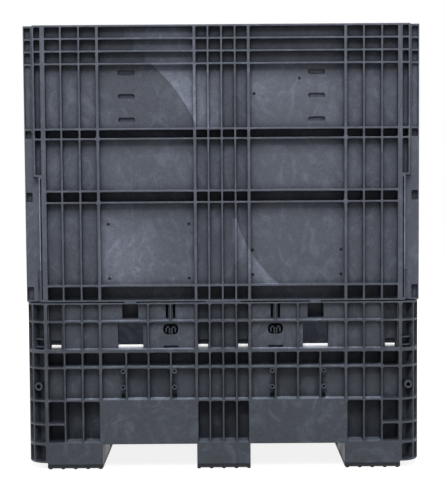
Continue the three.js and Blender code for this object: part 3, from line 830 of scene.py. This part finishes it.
# Skids: near black runners of recycled plastic, screwed under the feet from below. Their undersides are set
# with rows of small round studs that keep the box from sliding.
stud_height, stud_lap, stud_radius, stud_sides = 3, 0.5, 5, 14
studs_across, studs_along, studs_width, studs_length = 5, 29, 144, 1196
runner_soft, head_radius, recess_top = 1.2, 8.4, 5.39
shank_radius, shank_bottom = 3.9, 5
skid_plastic = plastic("skid_plastic", shade=(34, 37, 43), cloud=0.12, roughness=0.5, seed=9.0)
studs = bpy.data.node_groups.new("skid_studs", "GeometryNodeTree")
sockets = {}
for label, kind in (("Geometry", "Geometry"), ("Length X", "Float"), ("Length Y", "Float"),
                    ("Columns", "Int"), ("Rows", "Int"), ("Stud radius", "Float"), ("Stud height", "Float"),
                    ("Centre", "Vector"), ("Material", "Material")):
    socket = studs.interface.new_socket(label, in_out="INPUT", socket_type="NodeSocket" + kind)
    sockets[label] = socket.identifier
studs.interface.new_socket("Geometry", in_out="OUTPUT", socket_type="NodeSocketGeometry")
given, grid, stud, scatter, shift, join, real, paint, result = (studs.nodes.new(kind) for kind in (
    "NodeGroupInput", "GeometryNodeMeshGrid", "GeometryNodeMeshCylinder", "GeometryNodeInstanceOnPoints",
    "GeometryNodeTransform", "GeometryNodeJoinGeometry", "GeometryNodeRealizeInstances",
    "GeometryNodeSetMaterial", "NodeGroupOutput"))
stud.inputs["Vertices"].default_value = stud_sides
for source, label, target, socket in (
        (given, "Length X", grid, "Size X"), (given, "Length Y", grid, "Size Y"),
        (given, "Columns", grid, "Vertices X"), (given, "Rows", grid, "Vertices Y"),
        (given, "Stud radius", stud, "Radius"), (given, "Stud height", stud, "Depth"),
        (grid, "Mesh", scatter, "Points"), (stud, "Mesh", scatter, "Instance"),
        (scatter, "Instances", shift, "Geometry"), (given, "Centre", shift, "Translation"),
        (shift, "Geometry", join, "Geometry"), (given, "Geometry", join, "Geometry"),
        (join, "Geometry", real, "Geometry"), (real, "Geometry", paint, "Geometry"),
        (given, "Material", paint, "Material"), (paint, "Geometry", result, "Geometry")):
    studs.links.new(source.outputs[label], target.inputs[socket])
for name in ("left", "centre", "right"):
    low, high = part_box("skid_" + name)
    middle, top = (low.x + high.x) / 2, high.z / mm
    runner = bmesh.new()
    block(runner, low.x / mm, high.x / mm, low.y / mm, high.y / mm, stud_height, top, upright)
    runner = softened(new_object("skid_runner_" + name, runner), runner_soft)
    holes = bmesh.new()
    for node in sorted(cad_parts):
        if node.startswith("skid_screw_" + name):
            screw_low, screw_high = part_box(node)
            at = (screw_low + screw_high) / 2 / mm
            extruded(holes, circle(at.x, at.y, head_radius), stud_height - past, recess_top, upright)
            extruded(holes, circle(at.x, at.y, shank_radius), shank_bottom, top + past, upright)
    carve(runner, new_object("holes", holes))
    rows = runner.modifiers.new("studs", "NODES")
    rows.node_group = studs
    stud_length = (stud_height + stud_lap) * mm
    for label, value in (("Length X", studs_width * mm), ("Length Y", studs_length * mm),
                         ("Columns", studs_across), ("Rows", studs_along), ("Stud radius", stud_radius * mm),
                         ("Stud height", stud_length), ("Centre", (middle, 0, stud_length / 2)),
                         ("Material", skid_plastic)):
        rows[sockets[label]] = value
    applied(runner)
    finish(runner, skid_plastic, "box", "skid_" + name)

# Skid screws: plated steel pan heads, sunk in the undersides of the runners. Their solids are kept as they
# are, since they are small and face the floor.
plated_steel, steel_shader = speckled("plated_steel", scale=300, dark=(0.38, 0.38, 0.4),
                                      pale=(0.6, 0.6, 0.62), roughness=0.35)
steel_shader.inputs["Metallic"].default_value = 1.0
for node in sorted(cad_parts):
    if node.startswith("skid_screw"):
        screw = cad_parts[node]
        screw.data.materials.clear()
        screw.data.materials.append(plated_steel)

# Floor: a wide white studio floor, which shows white to the camera and in reflections, and stays dull under
# the lamps, so that it lights the box little and keeps its shadow.
floor_reach, floor_depth = 9000, 30
floor_near, floor_far, near_glow, far_glow = 0.9, 2.6, 0.86, 1.0


def seen_directly(nodes, links):
    paths, both, most = (nodes.new(kind) for kind in
                         ("ShaderNodeLightPath", "ShaderNodeMath", "ShaderNodeMath"))
    both.operation = most.operation = "MAXIMUM"
    links.new(paths.outputs["Is Camera Ray"], both.inputs[0])
    links.new(paths.outputs["Is Glossy Ray"], both.inputs[1])
    links.new(both.outputs[0], most.inputs[0])
    links.new(paths.outputs["Is Transmission Ray"], most.inputs[1])
    return most.outputs[0]


floor = bmesh.new()
block(floor, -floor_reach, floor_reach, -floor_reach, floor_reach, -floor_depth, 0, upright)
floor = new_object("studio_floor", floor)
white = bpy.data.materials.new("studio_white")
white.use_nodes = True
nodes, links = white.node_tree.nodes, white.node_tree.links
shader = nodes["Principled BSDF"]
shader.inputs["Base Color"].default_value = (0.3, 0.3, 0.3, 1)
shader.inputs["Roughness"].default_value = 0.9
glow, adder, level, coords, distance, fading = (nodes.new(kind) for kind in (
    "ShaderNodeEmission", "ShaderNodeAddShader", "ShaderNodeMath", "ShaderNodeTexCoord",
    "ShaderNodeVectorMath", "ShaderNodeMapRange"))
level.operation, distance.operation = "MULTIPLY", "LENGTH"
for label, value in (
        ("From Min", floor_near), ("From Max", floor_far), ("To Min", near_glow), ("To Max", far_glow)):
    fading.inputs[label].default_value = value
links.new(coords.outputs["Object"], distance.inputs[0])
links.new(distance.outputs["Value"], fading.inputs["Value"])
links.new(seen_directly(nodes, links), level.inputs[0])
links.new(fading.outputs["Result"], level.inputs[1])
links.new(level.outputs[0], glow.inputs["Strength"])
links.new(shader.outputs[0], adder.inputs[0])
links.new(glow.outputs[0], adder.inputs[1])
links.new(adder.outputs[0], nodes["Material Output"].inputs["Surface"])
floor.data.materials.append(white)

# Backdrop and lamps: a white world that adds little light of its own, and big soft lamps above, in front,
# behind and at both sides.
world = bpy.data.worlds.new("studio")
bpy.context.scene.world = world
world.use_nodes = True
nodes, links = world.node_tree.nodes, world.node_tree.links
for node in list(nodes):
    nodes.remove(node)
out, mixer, backdrop, ambient = (nodes.new(kind) for kind in (
    "ShaderNodeOutputWorld", "ShaderNodeMixShader", "ShaderNodeBackground", "ShaderNodeBackground"))
backdrop.inputs["Color"].default_value = (1, 1, 1, 1)
backdrop.inputs["Strength"].default_value = 1.0
ambient.inputs["Color"].default_value = (0.95, 0.97, 1.0, 1)
ambient.inputs["Strength"].default_value = 0.05
links.new(seen_directly(nodes, links), mixer.inputs["Fac"])
links.new(ambient.outputs[0], mixer.inputs[1])
links.new(backdrop.outputs[0], mixer.inputs[2])
links.new(mixer.outputs[0], out.inputs["Surface"])


def lamp(name, location, target, size, power):
    light = bpy.data.lights.new(name, "AREA")
    light.size, light.energy = size, power
    made = bpy.data.objects.new(name, light)
    bpy.context.scene.collection.objects.link(made)
    made.location = location
    made.rotation_euler = (Vector(target) - Vector(location)).to_track_quat("-Z", "Y").to_euler()


box_middle = (0, 0, 0.7)
lamp("key", (-0.5, -3.6, 3.9), box_middle, size=1.4, power=95)
lamp("top", (0.4, -2.5, 4.6), (0, -0.4, 0.6), size=1.0, power=85)
lamp("fill", (0.6, -4.8, 0.9), (0, 0, 0.6), size=2.0, power=7)
lamp("back", (0.5, 4.2, 3.2), box_middle, size=2.4, power=90)
lamp("left_side", (-4.2, 0.3, 2.4), box_middle, size=2.0, power=60)
lamp("right_side", (4.2, 0.3, 2.4), box_middle, size=2.0, power=60)

# Camera: straight before the end wall, a little above its middle and looking slightly down, with a long
# lens, as in the photo.
camera_distance, camera_height, lens_length, film_width = 3.4, 0.83, 86.5, 36
pitch_down, roll = math.radians(3.28), math.radians(-0.4)
camera = bpy.data.objects.new("camera", bpy.data.cameras.new("camera"))
bpy.context.scene.collection.objects.link(camera)
camera.location = (0, -half_length * mm - camera_distance, camera_height)
camera.rotation_euler = (Matrix.Rotation(math.pi / 2 - pitch_down, 3, "X")
                         @ Matrix.Rotation(roll, 3, "Z")).to_euler()
camera.data.lens, camera.data.sensor_width = lens_length, film_width
bpy.context.scene.camera = camera
bpy.context.scene.view_settings.view_transform = "Standard"
